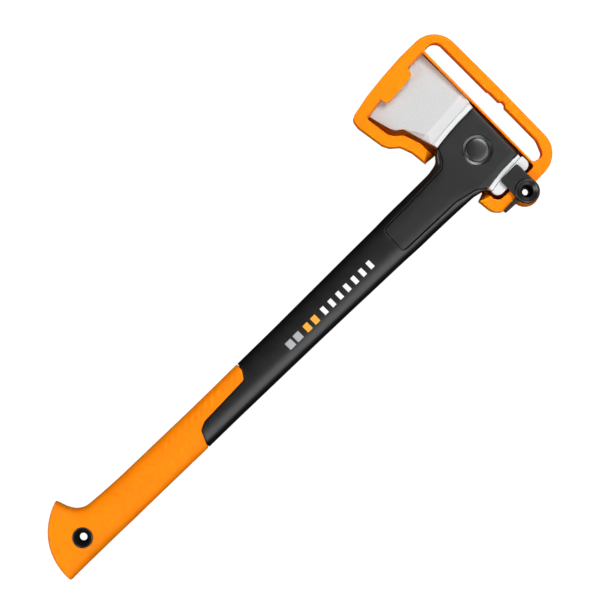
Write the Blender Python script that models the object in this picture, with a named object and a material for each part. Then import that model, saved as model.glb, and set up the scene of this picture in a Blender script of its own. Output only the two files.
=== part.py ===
"""Felling axe locked into its carry sheath, lying on its side.

Origin on the flat back of the sheath, under the centre of the head's round eye plug.
+X runs from the cutting edge to the poll, +Y along the handle from the butt to the head,
and +Z from the back of the sheath to its open face.  Sizes below are in millimetres.
"""
import math

import bpy

MM = 0.001
GAP = 0.3                   # running and moulding clearance between pieces

# The axe
MID_Z = 17.5                # mid-plane of the axe above the back of the sheath
BUTT_HALF = 17.5            # half thickness of the butt, which touches the ground plane
WRAP_HALF = 13.8            # half thickness of the composite round the head
POLL_HALF = 13.5
SHOULDER_HALF = 12.6        # steel shoulders on both sides of the wrap
TENON_HALF = 8.5            # steel inside the wrap
LOCK_HOLE_R = 8.0           # hole in the steel that the composite fills
PLUG_FLANGE_R = 14.5
PLUG_BUTTON_R = 11.5
PLUG_DEPTH = 3.2
TONGUE_DEPTH = 2.4          # how deep the wrap's tongues lie in the neck
GRIP_WALL = 2.8
SHAFT_WALL = 3.4
SHAFT_HOLLOW_TOP = -140.0   # the shaft is solid above this
SHAFT_END = -500.0
STOPPER_LENGTH = 26.0

# The hanging hole in the butt
HANG_X, HANG_Y = -4.8, -533.0
HANG_RIM_R = 9.7
HANG_BORE_R = 3.7
HANG_BUSH_R = 11.2

# The sheath
SHEATH_TOP = 30.5
SHEATH_FLOOR = 2.5
LIP_UNDER = 22.8            # underside of the lip over the cutting edge
PIVOT_X, PIVOT_Y = 62.0, 5.6
BOSS_R = 14.2               # at the back; the boss tapers towards the latch
BOSS_TOP_R = 12.8
BOSS_BORE_R = 8.5
COLLAR_R = 10.5
COLLAR_HOLE_R = 3.0
COLLAR_RECESS = 2.7

# The latch
LATCH_UNDER = 31.6
LATCH_TOP = 35.6
LATCH_RIM_TOP = 38.6
LATCH_R = 12.2
LATCH_BORE_R = 5.7
HUB_R = 8.2
LEVER_TIP_Y = -24.0

ROUND_SEGMENTS = 40
SECTION_POINTS = 32
FAR = 300.0

COLOURS = {
    "steel": ((0.62, 0.63, 0.64), 0.38, 1.0),
    "composite": ((0.030, 0.030, 0.032), 0.45, 0.0),
    "shaft": ((0.018, 0.018, 0.020), 0.38, 0.0),
    "grip": ((0.90, 0.27, 0.01), 0.55, 0.0),
    "sheath": ((0.95, 0.31, 0.01), 0.42, 0.0),
    "latch": ((0.025, 0.025, 0.027), 0.40, 0.0),
}

# Stations of the handle from the head to the butt.  Each has the two ends of a line across
# the handle, the half thickness, the exponent of its rounded section (2 is an ellipse and
# 10 nearly a rectangle), and how far the line bows towards the butt.
STATIONS = (
    ((-30.4, 26.5), (30.2, 25.5), 12.4, 10, 0),
    ((-31.7, 25.2), (31.3, 24.2), 13.6, 10, 0),
    ((-31.6, 20.0), (31.4, 19.0), WRAP_HALF, 10, 0),
    ((-31.3, 3.0), (31.8, 3.0), WRAP_HALF, 10, 0),
    ((-30.2, -12.0), (32.7, -10.0), WRAP_HALF, 10, 0),
    ((-28.4, -25.9), (33.6, -18.7), WRAP_HALF, 9, 0),
    ((-24.6, -31.8), (31.9, -26.4), 13.7, 7, 0),
    ((-19.6, -37.0), (29.9, -35.7), 13.4, 6, 0),
    ((-17.8, -43.0), (29.6, -42.0), 13.2, 5, 0),
    ((-16.8, -51.0), (29.2, -50.0), 13.0, 4.2, 0),
    ((-16.9, -80.4), (28.1, -80.4), 12.6, 3.5, 0),
    ((-17.2, -105.5), (27.5, -105.5), 12.3, 3.2, 0),
    ((-16.9, -124.0), (26.6, -124.0), 12.2, 3.0, 0),
    ((-17.1, -160.0), (25.4, -160.0), 12.1, 2.8, 0),
    ((-17.2, -200.0), (24.1, -200.0), 12.0, 2.8, 0),
    ((-17.3, -255.0), (22.6, -255.0), 12.0, 2.7, 0),
    ((-17.9, -310.0), (21.3, -310.0), 12.1, 2.6, 0),
    ((-18.3, -350.0), (20.4, -350.0), 12.3, 2.6, 0),
    ((-18.9, -386.0), (19.8, -386.0), 12.6, 2.6, 0),
    ((-19.8, -420.0), (19.1, -420.0), 12.9, 2.6, 0),
    ((-20.4, -446.7), (18.6, -446.7), 13.2, 2.6, 0),
    ((-20.9, -465.0), (18.2, -466.0), 13.8, 2.6, 0.2),
    ((-21.7, -481.0), (17.9, -486.0), 14.6, 2.6, 0.6),
    ((-22.7, -497.0), (17.4, -505.0), 15.5, 2.7, 1.4),
    ((-24.1, -509.5), (17.1, -521.0), 16.4, 2.8, 2.8),
    ((-28.5, -517.6), (16.9, -536.0), 17.0, 3.0, 5.0),
    ((-37.1, -523.3), (16.6, -552.0), 17.3, 3.4, 9.0),
    ((-45.9, -526.6), (16.6, -566.6), BUTT_HALF, 4.0, 12.4),
    ((-47.8, -527.6), (16.5, -569.8), 16.6, 4.6, 13.0),
    ((-47.9, -528.4), (15.9, -570.8), 14.6, 5.0, 13.2),
)

# Plan of the wrap with its tongue down the neck: (x, y, corner radius)
WRAP_PLAN = (
    (-FAR, 60, 0), (-FAR, -23.8, 0), (-28.9, -24.6, 0), (-16.6, -29.8, 5), (-10.2, -37.6, 8),
    (-8.7, -117.6, 3), (15.2, -120.0, 3.5), (18.6, -97.0, 4), (19.2, -47.0, 14),
    (25.6, -26.6, 9), (34.0, -18.2, 0), (FAR, -17.4, 0), (FAR, 60, 0),
)

# Upper edge of the orange grip across the shaft: (x, y, corner radius)
GRIP_PLAN = (
    (-60, -309.5, 0), (-10.5, -310.6, 3), (-2.4, -316.0, 4), (-0.9, -371.0, 6),
    (3.0, -379.6, 5), (22.0, -387.4, 0), (60, -398.0, 0), (60, -640, 0), (-90, -640, 0),
)

# Lower and upper edges of the blade from the cutting edge to the wrap: (x, y)
BLADE_LOWER = ((-103.6, -51.4), (-95.5, -50.2), (-74.5, -44.8), (-69.6, -42.4),
               (-64.6, -35.6), (-33.4, -26.6), (-28.9, -25.6))
BLADE_UPPER = ((-108.8, 28.6), (-101.5, 28.2), (-41.6, 28.4), (-37.4, 26.6), (-32.1, 25.9))

SHEATH_PLAN = (
    (-107.5, -60.8, 7), (-112.0, -38.0, 20), (-114.6, -13.2, 20), (-116.07, 10.0, 8),
    (-115.6, 57.1, 26), (-30.0, 57.5, 20), (60.6, 56.2, 26), (61.5, 14.0, 0),
    (60.6, 0.0, 0), (60.4, -24.2, 7), (52.8, -31.6, 13), (36.5, -33.2, 1.0),
    (-26.4, -43.9, 1.0), (-42.3, -45.6, 10), (-54.1, -49.8, 8), (-61.2, -58.0, 5),
    (-68.0, -61.4, 8), (-96.0, -65.7, 8), (-104.4, -64.6, 8),
)

# The head's space inside the sheath ends by the neck in two sloping faces: the line of
# each face at the floor of the sheath, and at its top
LEG_END_LOW = ((-27.0, -53.0, 0), (-24.8, -31.0, 0))
LEG_END_HIGH = ((-23.3, -53.0, 0), (-33.8, -34.6, 0))
HOOK_END_LOW = ((32.6, -22.4, 0), (40.3, -44.0, 0))
HOOK_END_HIGH = ((40.6, -21.9, 0), (32.5, -44.0, 0))

# The rest of that space, from the hook over the poll to the lip, and along the leg
HOOK_SIDE = ((49.9, 6.0, 3), (50.3, -8.0, 3), (49.8, -18.0, 5), (44.6, -22.2, 4))
LEG_SIDE = ((-42.3, -34.2, 10), (-59.9, -40.1, 6), (-66.3, -47.2, 6), (-71.6, -50.6, 6))
POCKET_START = (
    (-105.2, -55.2, 2), (-110.6, -13.0, 60), (-112.4, 13.0, 60), (-111.0, 29.5, 1.5),
    (49.8, 28.6, 2),
)

# The open mouth above the lip, with a locating tab on the left: under the lip and at the top
MOUTH_START_LOW = (
    (-95.8, -54.2, 2), (-98.8, -31.4, 1.5), (-93.2, -30.0, 3), (-92.2, -23.7, 4),
    (-94.7, 6.2, 3), (-102.4, 8.8, 1.5), (-103.0, 29.2, 1), (49.8, 28.0, 2),
)
MOUTH_START_HIGH = (
    (-97.9, -54.2, 2), (-101.0, -31.4, 1.5), (-93.2, -30.0, 3), (-92.2, -23.7, 4),
    (-94.7, 6.2, 3), (-104.4, 8.8, 1.5), (-105.0, 29.2, 1), (49.8, 28.0, 2),
)

# Gap in the floor under the neck
NECK_GAP = (
    (-27.0, -53.0, 0), (-24.8, -31.0, 1.5), (33.2, -24.1, 1.5), (40.3, -44.0, 0),
    (40.3, -60.0, 0), (-27.0, -60.0, 0),
)

SLOT_PLAN = (
    (-104.4, 31.5, 1.0), (-104.6, 47.3, 9.5), (-33.2, 47.3, 1), (-31.6, 48.3, 1),
    (-18.2, 48.3, 1), (-16.0, 50.6, 1.5), (-12.2, 50.6, 1.5), (-9.9, 48.2, 1),
    (34.0, 47.9, 16), (49.6, 41.4, 8), (46.2, 29.9, 2.5),
)

LATCH_TAB = ((PIVOT_X, PIVOT_Y + LATCH_R - 0.1, 0), (36.0, 17.6, 2.4), (35.9, -5.5, 2.4),
             (PIVOT_X, PIVOT_Y - LATCH_R + 0.1, 0))


def clear_scene():
    for thing in list(bpy.data.objects):
        bpy.data.objects.remove(thing)


def material(slot):
    found = bpy.data.materials.get(slot)
    if found:
        return found
    colour, roughness, metallic = COLOURS[slot]
    made = bpy.data.materials.new(slot)
    made.use_nodes = True
    shader = made.node_tree.nodes["Principled BSDF"]
    shader.inputs["Base Color"].default_value = (*colour, 1.0)
    shader.inputs["Roughness"].default_value = roughness
    shader.inputs["Metallic"].default_value = metallic
    return made


def solid(name, points, faces):
    """A mesh object from points in millimetres."""
    mesh = bpy.data.meshes.new(name)
    mesh.from_pydata([(x * MM, y * MM, z * MM) for x, y, z in points], [], faces)
    mesh.update()
    made = bpy.data.objects.new(name, mesh)
    bpy.context.collection.objects.link(made)
    return made


def apply_modifiers(target):
    """Replace the object's mesh with its evaluated mesh."""
    graph = bpy.context.evaluated_depsgraph_get()
    mesh = bpy.data.meshes.new_from_object(target.evaluated_get(graph))
    target.modifiers.clear()
    target.data = mesh


def combine(target, operation, *tools):
    """Apply Booleans of one kind with each tool, which is then removed."""
    for tool in tools:
        step = target.modifiers.new(operation, "BOOLEAN")
        step.object = tool
        step.operation = operation
        step.solver = "EXACT"
        apply_modifiers(target)
        bpy.data.objects.remove(tool)
    return target


def bevel(target, width, segments=2, angle=35):
    step = target.modifiers.new("Bevel", "BEVEL")
    step.width = width * MM
    step.segments = segments
    step.limit_method = "ANGLE"
    step.angle_limit = math.radians(angle)
    apply_modifiers(target)


def dress(target, slot):
    target.data.materials.clear()
    target.data.materials.append(material(slot))
    target.data.shade_smooth()
    target.data.set_sharp_from_angle(angle=math.radians(32))


def rounded(plan):
    """The corners (x, y, radius) as a closed outline, each corner an arc."""
    outline = []
    for i, (x, y, radius) in enumerate(plan):
        if radius == 0:
            outline.append((x, y))
            continue
        before, after = plan[i - 1], plan[(i + 1) % len(plan)]
        to_before = math.atan2(before[1] - y, before[0] - x)
        to_after = math.atan2(after[1] - y, after[0] - x)
        turn = (to_after - to_before + math.pi) % (2 * math.pi) - math.pi
        half = abs(turn) / 2
        room = min(0.98 * math.dist((x, y), other[:2]) * radius / (radius + other[2])
                   for other in (before, after))
        reach = min(radius / math.tan(half), room)
        radius = reach * math.tan(half)
        middle = to_before + turn / 2
        to_centre = radius / math.sin(half)
        cx, cy = x + to_centre * math.cos(middle), y + to_centre * math.sin(middle)
        sweep = math.pi - abs(turn)
        steps = max(2, math.ceil(sweep / math.radians(11)))
        start = middle + math.pi - math.copysign(sweep / 2, -turn)
        for k in range(steps + 1):
            angle = start + math.copysign(sweep, -turn) * k / steps
            outline.append((cx + radius * math.cos(angle), cy + radius * math.sin(angle)))
    return outline


def area(outline):
    return sum(outline[i - 1][0] * y - x * outline[i - 1][1]
               for i, (x, y) in enumerate(outline)) / 2


def prism(name, outline, low, high, upper=None):
    """A solid between two heights; upper is the outline at the top if it differs."""
    upper = upper or outline
    if area(outline) < 0:
        outline, upper = outline[::-1], upper[::-1]
    count = len(outline)
    points = [(x, y, low) for x, y in outline] + [(x, y, high) for x, y in upper]
    faces = [tuple(reversed(range(count))), tuple(range(count, 2 * count))]
    for i in range(count):
        j = (i + 1) % count
        faces.append((i, j, count + j, count + i))
    return solid(name, points, faces)


def circle(cx, cy, radius):
    turns = [2 * math.pi * k / ROUND_SEGMENTS for k in range(ROUND_SEGMENTS)]
    return [(cx + radius * math.cos(a), cy + radius * math.sin(a)) for a in turns]


def cylinder(name, cx, cy, radius, low, high):
    return prism(name, circle(cx, cy, radius), low, high)


def turned(name, cx, cy, profile):
    """A ring turned about the vertical through (cx, cy).

    The profile is a closed loop of (radius, height) that runs down the outer side.
    """
    rows = len(profile)
    points = []
    for k in range(ROUND_SEGMENTS):
        angle = 2 * math.pi * k / ROUND_SEGMENTS
        for radius, height in profile:
            points.append((cx + radius * math.cos(angle), cy + radius * math.sin(angle), height))
    faces = []
    for k in range(ROUND_SEGMENTS):
        nxt = (k + 1) % ROUND_SEGMENTS
        for i in range(rows):
            j = (i + 1) % rows
            faces.append((k * rows + i, k * rows + j, nxt * rows + j, nxt * rows + i))
    return solid(name, points, faces)


def dome(name, cx, cy, profile):
    """A solid turned about the vertical; the profile runs from the top pole to the lower."""
    top, *rim, bottom = profile
    rows = len(rim)
    points = [(cx, cy, top[1]), (cx, cy, bottom[1])]
    for k in range(ROUND_SEGMENTS):
        angle = 2 * math.pi * k / ROUND_SEGMENTS
        for radius, height in rim:
            points.append((cx + radius * math.cos(angle), cy + radius * math.sin(angle), height))
    faces = []
    for k in range(ROUND_SEGMENTS):
        here, nxt = 2 + k * rows, 2 + (k + 1) % ROUND_SEGMENTS * rows
        faces.append((0, here, nxt))
        faces.append((1, nxt + rows - 1, here + rows - 1))
        for i in range(rows - 1):
            faces.append((here + i, here + i + 1, nxt + i + 1, nxt + i))
    return solid(name, points, faces)


# ---------------------------------------------------------------- handle

def section(station, inset):
    """Points round one section of the handle, drawn in by the inset."""
    left, right, half, power, bow = station
    span = math.dist(left, right)
    along = ((right[0] - left[0]) / span, (right[1] - left[1]) / span)
    down = (along[1], -along[0])
    half_span = span / 2 - inset
    half_thick = half - inset
    middle = ((left[0] + right[0]) / 2, (left[1] + right[1]) / 2)
    ring = []
    for k in range(SECTION_POINTS):
        angle = 2 * math.pi * (k + 0.5) / SECTION_POINTS
        across = math.copysign(abs(math.cos(angle)) ** (2 / power), math.cos(angle))
        up = math.copysign(abs(math.sin(angle)) ** (2 / power), math.sin(angle))
        sag = bow * (1 - across * across)
        ring.append((middle[0] + along[0] * across * half_span + down[0] * sag,
                     middle[1] + along[1] * across * half_span + down[1] * sag,
                     MID_Z + up * half_thick))
    return ring


def between(first, second, share):
    """A station part of the way between two others."""
    def mix(a, b):
        return a + (b - a) * share
    ends = [tuple(mix(a, b) for a, b in zip(first[e], second[e])) for e in (0, 1)]
    return (*ends, *(mix(first[i], second[i]) for i in (2, 3, 4)))


def station_at(y):
    """The station whose middle line has this y."""
    for first, second in zip(STATIONS, STATIONS[1:]):
        high = (first[0][1] + first[1][1]) / 2
        low = (second[0][1] + second[1][1]) / 2
        if low <= y <= high:
            return between(first, second, (high - y) / (high - low))
    raise ValueError("no station at this height")


def handle_solid(name, stations, inset=0.0):
    """A closed solid through the stations, its ends closed by strips from face to face."""
    rings = [section(station, inset) for station in stations]
    count = SECTION_POINTS
    points = [point for ring in rings for point in ring]
    faces = []
    for r in range(len(rings) - 1):
        for k in range(count):
            j = (k + 1) % count
            faces.append((r * count + k, r * count + j, (r + 1) * count + j, (r + 1) * count + k))
    last = (len(rings) - 1) * count
    # the ring runs anticlockwise from the right-hand side, so k mirrors to count - 1 - k
    for k in range(count // 2 - 1):
        a, b = k, k + 1
        c, d = count - 2 - k, count - 1 - k
        faces.append((d, c, b, a))
        faces.append((last + a, last + b, last + c, last + d))
    return solid(name, points, faces)


def stations_between(high, low):
    inner = [s for s in STATIONS if low < (s[0][1] + s[1][1]) / 2 < high]
    return [station_at(high), *inner, station_at(low)]


def neck_region(name, grow):
    """Space of the wrap: all of the head's width, and a tongue in each face of the neck."""
    plan = [(x, y - grow, r) for x, y, r in WRAP_PLAN]
    region = prism(name, rounded(plan), MID_Z - 40, MID_Z + 40)
    body = [(-FAR, -27.0 - grow), (FAR, -27.0 - grow), (FAR, -200), (-FAR, -200)]
    core_half = 12.4 - TONGUE_DEPTH - grow
    core = prism(name + "_core", body, MID_Z - core_half, MID_Z + core_half)
    return combine(region, "DIFFERENCE", core)


def make_head_wrap():
    wrap = handle_solid("head_wrap", stations_between(26.0, -150.0))
    combine(wrap, "INTERSECT", neck_region("wrap_region", 0.0))
    tunnel = prism("tunnel", [(-60, -18.5 - GAP), (60, -18.5 - GAP), (60, 20.5 + GAP), (-60, 20.5 + GAP)],
                   MID_Z - TENON_HALF - GAP, MID_Z + TENON_HALF + GAP)
    column = cylinder("column", 0, 0, LOCK_HOLE_R - GAP, MID_Z - 20, MID_Z + 20)
    combine(tunnel, "DIFFERENCE", column)
    combine(wrap, "DIFFERENCE", tunnel)
    reach = PLUG_DEPTH + GAP
    upper = cylinder("upper", 0, 0, PLUG_FLANGE_R + GAP, MID_Z + WRAP_HALF - reach, MID_Z + 30)
    lower = cylinder("lower", 0, 0, PLUG_FLANGE_R + GAP, MID_Z - 30, MID_Z - WRAP_HALF + reach)
    combine(wrap, "DIFFERENCE", upper, lower)
    dress(wrap, "composite")


def make_eye_plug(name, side):
    """Round plug in the cheek of the wrap: a domed button inside a sunken ring."""
    face = WRAP_HALF
    rows = ((0, face + 0.5), (4.5, face + 0.4), (8.4, face + 0.1), (10.4, face - 0.3),
            (PLUG_BUTTON_R, face - 0.9), (PLUG_BUTTON_R + 0.5, face - 1.9),
            (PLUG_FLANGE_R - 0.9, face - 1.9), (PLUG_FLANGE_R, face - 1.4),
            (PLUG_FLANGE_R, face - PLUG_DEPTH), (0, face - PLUG_DEPTH))
    profile = [(r, MID_Z + side * z) for r, z in rows]
    plug = dome(name, 0, 0, profile if side > 0 else profile[::-1])
    dress(plug, "composite")


def make_handle_shaft():
    """Hollow composite shaft, thinner where it runs inside the grip."""
    visible = handle_solid("handle_shaft", stations_between(-12.0, -420.0))
    combine(visible, "DIFFERENCE", neck_region("neck_cut", GAP))
    combine(visible, "DIFFERENCE", grip_region("grip_cut", GAP))
    core = handle_solid("core", stations_between(-290.0, SHAFT_END), GRIP_WALL)
    combine(visible, "UNION", core)
    hollow = handle_solid("hollow", stations_between(SHAFT_HOLLOW_TOP, SHAFT_END - 6.0),
                          GRIP_WALL + SHAFT_WALL)
    combine(visible, "DIFFERENCE", hollow)
    dress(visible, "shaft")


def grip_region(name, grow):
    plan = [(x, y + grow, r) for x, y, r in GRIP_PLAN]
    return prism(name, rounded(plan), MID_Z - 40, MID_Z + 40)


def make_grip_sleeve():
    """Soft grip moulded over the end of the shaft, with the flared, hooked butt."""
    grip = handle_solid("grip_sleeve", [station_at(-300.0)]
                        + [s for s in STATIONS if (s[0][1] + s[1][1]) / 2 < -300.0])
    combine(grip, "INTERSECT", grip_region("grip_space", 0.0))
    bore = handle_solid("bore", stations_between(-280.0, SHAFT_END - GAP), GRIP_WALL - GAP)
    bush_hole = cylinder("bush_hole", HANG_X, HANG_Y, HANG_BUSH_R + GAP, -5, 45)
    combine(grip, "DIFFERENCE", bore, bush_hole)
    dress(grip, "grip")


def make_shaft_stopper():
    """Plug that closes the hollow end of the shaft under the grip."""
    inset = GRIP_WALL + SHAFT_WALL + GAP
    stopper = handle_solid("shaft_stopper",
                           stations_between(SHAFT_END + STOPPER_LENGTH, SHAFT_END), inset)
    dress(stopper, "composite")


def make_hang_bush():
    """Funnel-shaped liner of the hanging hole, open on both faces of the butt."""
    low, high = 0.25, 2 * BUTT_HALF - 0.25
    funnel = ((HANG_RIM_R, 0.0), (8.2, 3.4), (6.0, 8.0), (HANG_BORE_R + 0.6, 12.4),
              (HANG_BORE_R, 14.6))
    inner = [(r, low + z) for r, z in funnel] + [(r, high - z) for r, z in reversed(funnel)]
    bush = turned("hang_bush", HANG_X, HANG_Y,
                  [(HANG_BUSH_R - 0.5, high), (HANG_BUSH_R, high - 0.5),
                   (HANG_BUSH_R, low + 0.5), (HANG_BUSH_R - 0.5, low), *inner])
    dress(bush, "composite")


# ---------------------------------------------------------------- steel head

def along_polyline(line, x):
    """Height of an open line of (x, y) points at this x."""
    for (x0, y0), (x1, y1) in zip(line, line[1:]):
        if x0 <= x <= x1:
            return y0 + (y1 - y0) * (x - x0) / (x1 - x0)
    return line[0][1] if x < line[0][0] else line[-1][1]


# Half thickness of the blade by the share of the way from the wrap to the cutting edge
CHEEK = ((0.0, SHOULDER_HALF), (0.046, SHOULDER_HALF), (0.054, 12.1), (0.165, 8.5),
         (0.185, 8.1), (0.5, 5.6), (0.86, 3.2), (0.93, 2.5), (0.97, 1.4), (1.0, 0.3))
COLUMNS = (0.0, 0.046, 0.054, 0.08, 0.11, 0.165, 0.185, 0.24, 0.3, 0.36, 0.42, 0.468, 0.486, 0.51,
           0.545, 0.575, 0.6135, 0.68, 0.76, 0.83, 0.86, 0.895, 0.93, 0.97, 1.0)
EDGE_BOW = -2.9             # how far the cutting edge bulges from a straight line
BORDER_BOW = -1.2           # and the border with the wrap


def facet(share):
    """Width of the ground facet along the lower edge of the blade, 0 to 1."""
    if share >= 0.479 or share <= 0.10:
        return 0.0
    if share >= 0.2:
        return (0.479 - share) / 0.279
    return (share - 0.10) / 0.10


def make_blade():
    rows_inner = (0.2, 0.35, 0.5, 0.65, 0.8)
    top, bottom = [], []
    for share in COLUMNS:
        low_x = BLADE_LOWER[-1][0] + (BLADE_LOWER[0][0] - BLADE_LOWER[-1][0]) * share
        high_x = BLADE_UPPER[-1][0] + (BLADE_UPPER[0][0] - BLADE_UPPER[-1][0]) * share
        low_y, high_y = along_polyline(BLADE_LOWER, low_x), along_polyline(BLADE_UPPER, high_x)
        height = high_y - low_y
        low_facet = max(0.6, 7.0 * facet(share)) / height
        high_facet = 1 - max(0.6, 3.6 * facet(share)) / height
        bow = BORDER_BOW + (EDGE_BOW - BORDER_BOW) * share
        cheek = along_polyline(CHEEK, share)
        for row in (0.0, low_facet, *rows_inner, high_facet, 1.0):
            half = cheek
            if row == 0.0:
                half -= 3.6 * facet(share) + 0.2 * (cheek > 1)
            if row == 1.0:
                half -= 1.5 * facet(share) + 0.2 * (cheek > 1)
            x = low_x + (high_x - low_x) * row + bow * 4 * row * (1 - row)
            y = low_y + height * row
            top.append((x, y, MID_Z + half))
            bottom.append((x, y, MID_Z - half))
    rows = len(rows_inner) + 4
    columns = len(COLUMNS)
    lift = len(top)
    faces = []
    for c in range(columns - 1):
        for r in range(rows - 1):
            a, b = c * rows + r, (c + 1) * rows + r
            faces.append((a, a + 1, b + 1, b))
            faces.append((lift + a, lift + b, lift + b + 1, lift + a + 1))
    last = (columns - 1) * rows
    border = [*range(rows), *range(2 * rows - 1, last, rows), *range(last + rows - 1, last, -1),
              *range(last, 0, -rows)]
    for i, a in enumerate(border):
        b = border[(i + 1) % len(border)]
        faces.append((lift + a, lift + b, b, a))
    return solid("axe_head", top + bottom, faces)


def make_axe_head():
    """Blade, the tenon inside the wrap and the poll, in one forging."""
    head = make_blade()
    tenon = prism("tenon", [(-34, -18.5), (38, -18.5), (38, 20.5), (-34, 20.5)],
                  MID_Z - TENON_HALF, MID_Z + TENON_HALF)
    shoulder = prism("shoulder", rounded((
        (31.9, 24.6, 0), (32.2, 3.0, 0), (33.1, -10.0, 0), (34.0, -17.6, 0.8),
        (39.0, -17.6, 0), (37.0, 24.6, 0))), MID_Z - SHOULDER_HALF, MID_Z + SHOULDER_HALF)
    poll = prism("poll", rounded((
        (34.4, 26.7, 3.0), (34.9, 9.6, 20), (36.1, -5.0, 20), (38.3, -18.5, 1.5),
        (46.7, -18.5, 6.3), (46.7, 26.7, 6.3))), MID_Z - POLL_HALF, MID_Z + POLL_HALF)
    bevel(poll, 1.0)
    combine(head, "UNION", tenon, shoulder, poll)
    combine(head, "DIFFERENCE",
            cylinder("lock_hole", 0, 0, LOCK_HOLE_R, MID_Z - 30, MID_Z + 30))
    dress(head, "steel")


# ---------------------------------------------------------------- sheath and latch

def make_sheath_frame():
    sheath = prism("sheath_frame", rounded(SHEATH_PLAN), 0, SHEATH_TOP)
    boss = prism("boss", circle(PIVOT_X, PIVOT_Y, BOSS_R), 0, SHEATH_TOP,
                 circle(PIVOT_X, PIVOT_Y, BOSS_TOP_R))
    combine(sheath, "UNION", boss)
    share = (LIP_UNDER - SHEATH_FLOOR) / (SHEATH_TOP - SHEATH_FLOOR)
    ends = [tuple(tuple(a + (b - a) * at for a, b in zip(low, high))
                  for low, high in zip(HOOK_END_LOW + LEG_END_LOW, HOOK_END_HIGH + LEG_END_HIGH))
            for at in (0, share, 1)]
    pocket, mouth, mouth_top = [
        rounded(start + HOOK_SIDE + end + LEG_SIDE)
        for start, end in zip((POCKET_START, MOUTH_START_LOW, MOUTH_START_HIGH), ends)]
    pocket_top = rounded(POCKET_START + HOOK_SIDE + ends[1] + LEG_SIDE)
    slot = prism("slot", rounded(SLOT_PLAN), -5, SHEATH_TOP + 5)
    gap = prism("gap", rounded(NECK_GAP), -5, SHEATH_FLOOR + 0.5)
    bore = cylinder("bore", PIVOT_X, PIVOT_Y, BOSS_BORE_R, -5, SHEATH_TOP + 5)
    recess = cylinder("recess", PIVOT_X, PIVOT_Y, COLLAR_R + GAP, -5, COLLAR_RECESS)
    combine(sheath, "DIFFERENCE",
            prism("pocket", pocket, SHEATH_FLOOR, LIP_UNDER, pocket_top),
            prism("mouth", mouth, LIP_UNDER - 0.05, SHEATH_TOP + 0.05, mouth_top),
            slot, gap, bore, recess)
    dress(sheath, "sheath")


def make_latch():
    """Turning latch: a plate over the poll, a funnel-shaped boss, a hub and a thumb lever."""
    latch = prism("latch", rounded(LATCH_TAB), LATCH_UNDER, LATCH_TOP)
    head = turned("latch_head", PIVOT_X, PIVOT_Y, [
        (9.9, LATCH_RIM_TOP), (11.2, LATCH_RIM_TOP - 0.5), (LATCH_R, LATCH_TOP - 0.4),
        (LATCH_R, LATCH_UNDER), (HUB_R, LATCH_UNDER), (HUB_R, COLLAR_RECESS),
        (LATCH_BORE_R, COLLAR_RECESS), (LATCH_BORE_R, 32.5), (6.3, 34.6), (9.0, LATCH_RIM_TOP - 0.6)])
    bore = cylinder("bore", PIVOT_X, PIVOT_Y, HUB_R + 1.0, 20, LATCH_TOP + 10)
    combine(latch, "DIFFERENCE", bore)
    lever = prism("lever", rounded((
        (58.4, -3.0, 0), (58.8, LEVER_TIP_Y, 1.0), (62.4, LEVER_TIP_Y, 1.0), (63.4, -5.0, 0))),
        LATCH_UNDER, LATCH_TOP - 0.6)
    combine(latch, "UNION", head, lever)
    dress(latch, "latch")


def make_latch_collar():
    """Collar that snaps into the hub from behind and keeps the latch in its boss."""
    collar = turned("latch_collar", PIVOT_X, PIVOT_Y, [
        (LATCH_BORE_R - GAP, 9.0), (LATCH_BORE_R - GAP, COLLAR_RECESS - GAP),
        (COLLAR_R, COLLAR_RECESS - GAP), (COLLAR_R, 0.6), (COLLAR_R - 0.4, 0.2),
        (COLLAR_HOLE_R, 0.2), (COLLAR_HOLE_R, 9.0)])
    dress(collar, "latch")


clear_scene()
make_axe_head()
make_head_wrap()
make_eye_plug("eye_plug_upper", 1)
make_eye_plug("eye_plug_lower", -1)
make_handle_shaft()
make_grip_sleeve()
make_shaft_stopper()
make_hang_bush()
make_sheath_frame()
make_latch()
make_latch_collar()
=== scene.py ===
import math

import bpy
import numpy as np
from mathutils import Matrix, Vector


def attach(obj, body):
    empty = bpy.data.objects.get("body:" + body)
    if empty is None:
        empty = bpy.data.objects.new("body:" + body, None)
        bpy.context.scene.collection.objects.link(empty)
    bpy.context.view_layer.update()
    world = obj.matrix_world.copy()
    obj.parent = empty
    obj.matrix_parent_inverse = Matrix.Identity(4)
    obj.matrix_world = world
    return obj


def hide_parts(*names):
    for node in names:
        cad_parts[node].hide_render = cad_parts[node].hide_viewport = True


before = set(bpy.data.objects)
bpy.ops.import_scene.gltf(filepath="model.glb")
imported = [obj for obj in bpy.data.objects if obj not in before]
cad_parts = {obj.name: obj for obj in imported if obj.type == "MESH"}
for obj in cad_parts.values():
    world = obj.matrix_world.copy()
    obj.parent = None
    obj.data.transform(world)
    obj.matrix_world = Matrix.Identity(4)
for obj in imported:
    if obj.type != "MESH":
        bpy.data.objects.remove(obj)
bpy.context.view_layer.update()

MM = 0.001

# ------------ materials

# Painted light and shade on the steel beside the wrap, in bands parallel to its border:
# a painted highlight on the steep slope, a thin painted shadow at the step above it and a
# lighter strip up to the wrap; each starts between two distances along X and has its own grey
PAINTED_BAND_SLANT = math.radians(-3.7)
PAINTED_LIGHT_BANDS = (((-48.2, -45.6), 0.61), ((-36.9, -36.5), 0.36), ((-36.4, -36.0), 0.62))
SKIN_GREYS = (0.455, 0.53)
# A soft shade below the upper line of the facet at the blade's lower edge: on each axis
# turned along that line, where it comes in and where it goes out
FACET_SLANT = math.radians(-27.3)
FACET_SHADE = (("X", (-72.0, -60.0), (-51.6, -53.2)), ("Y", (-4.8, -1.6), (-1.05, -1.35)))
FACET_STRENGTH = 0.6
FACET_GREY = 0.25
WARMLESS = (0.985, 1.0, 1.01)       # evens out the light that the orange sheath throws

# Light that enters the bright plastics: its share, and how far each colour reaches in mm
LIGHT_SHARE = 0.3
LIGHT_COLOURS = (1.0, 0.12, 0.02)
LIGHT_REACH = 4
ORANGE_TINT = (1.0, 0.75, 0.35)
MOTTLE = 0.05

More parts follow.
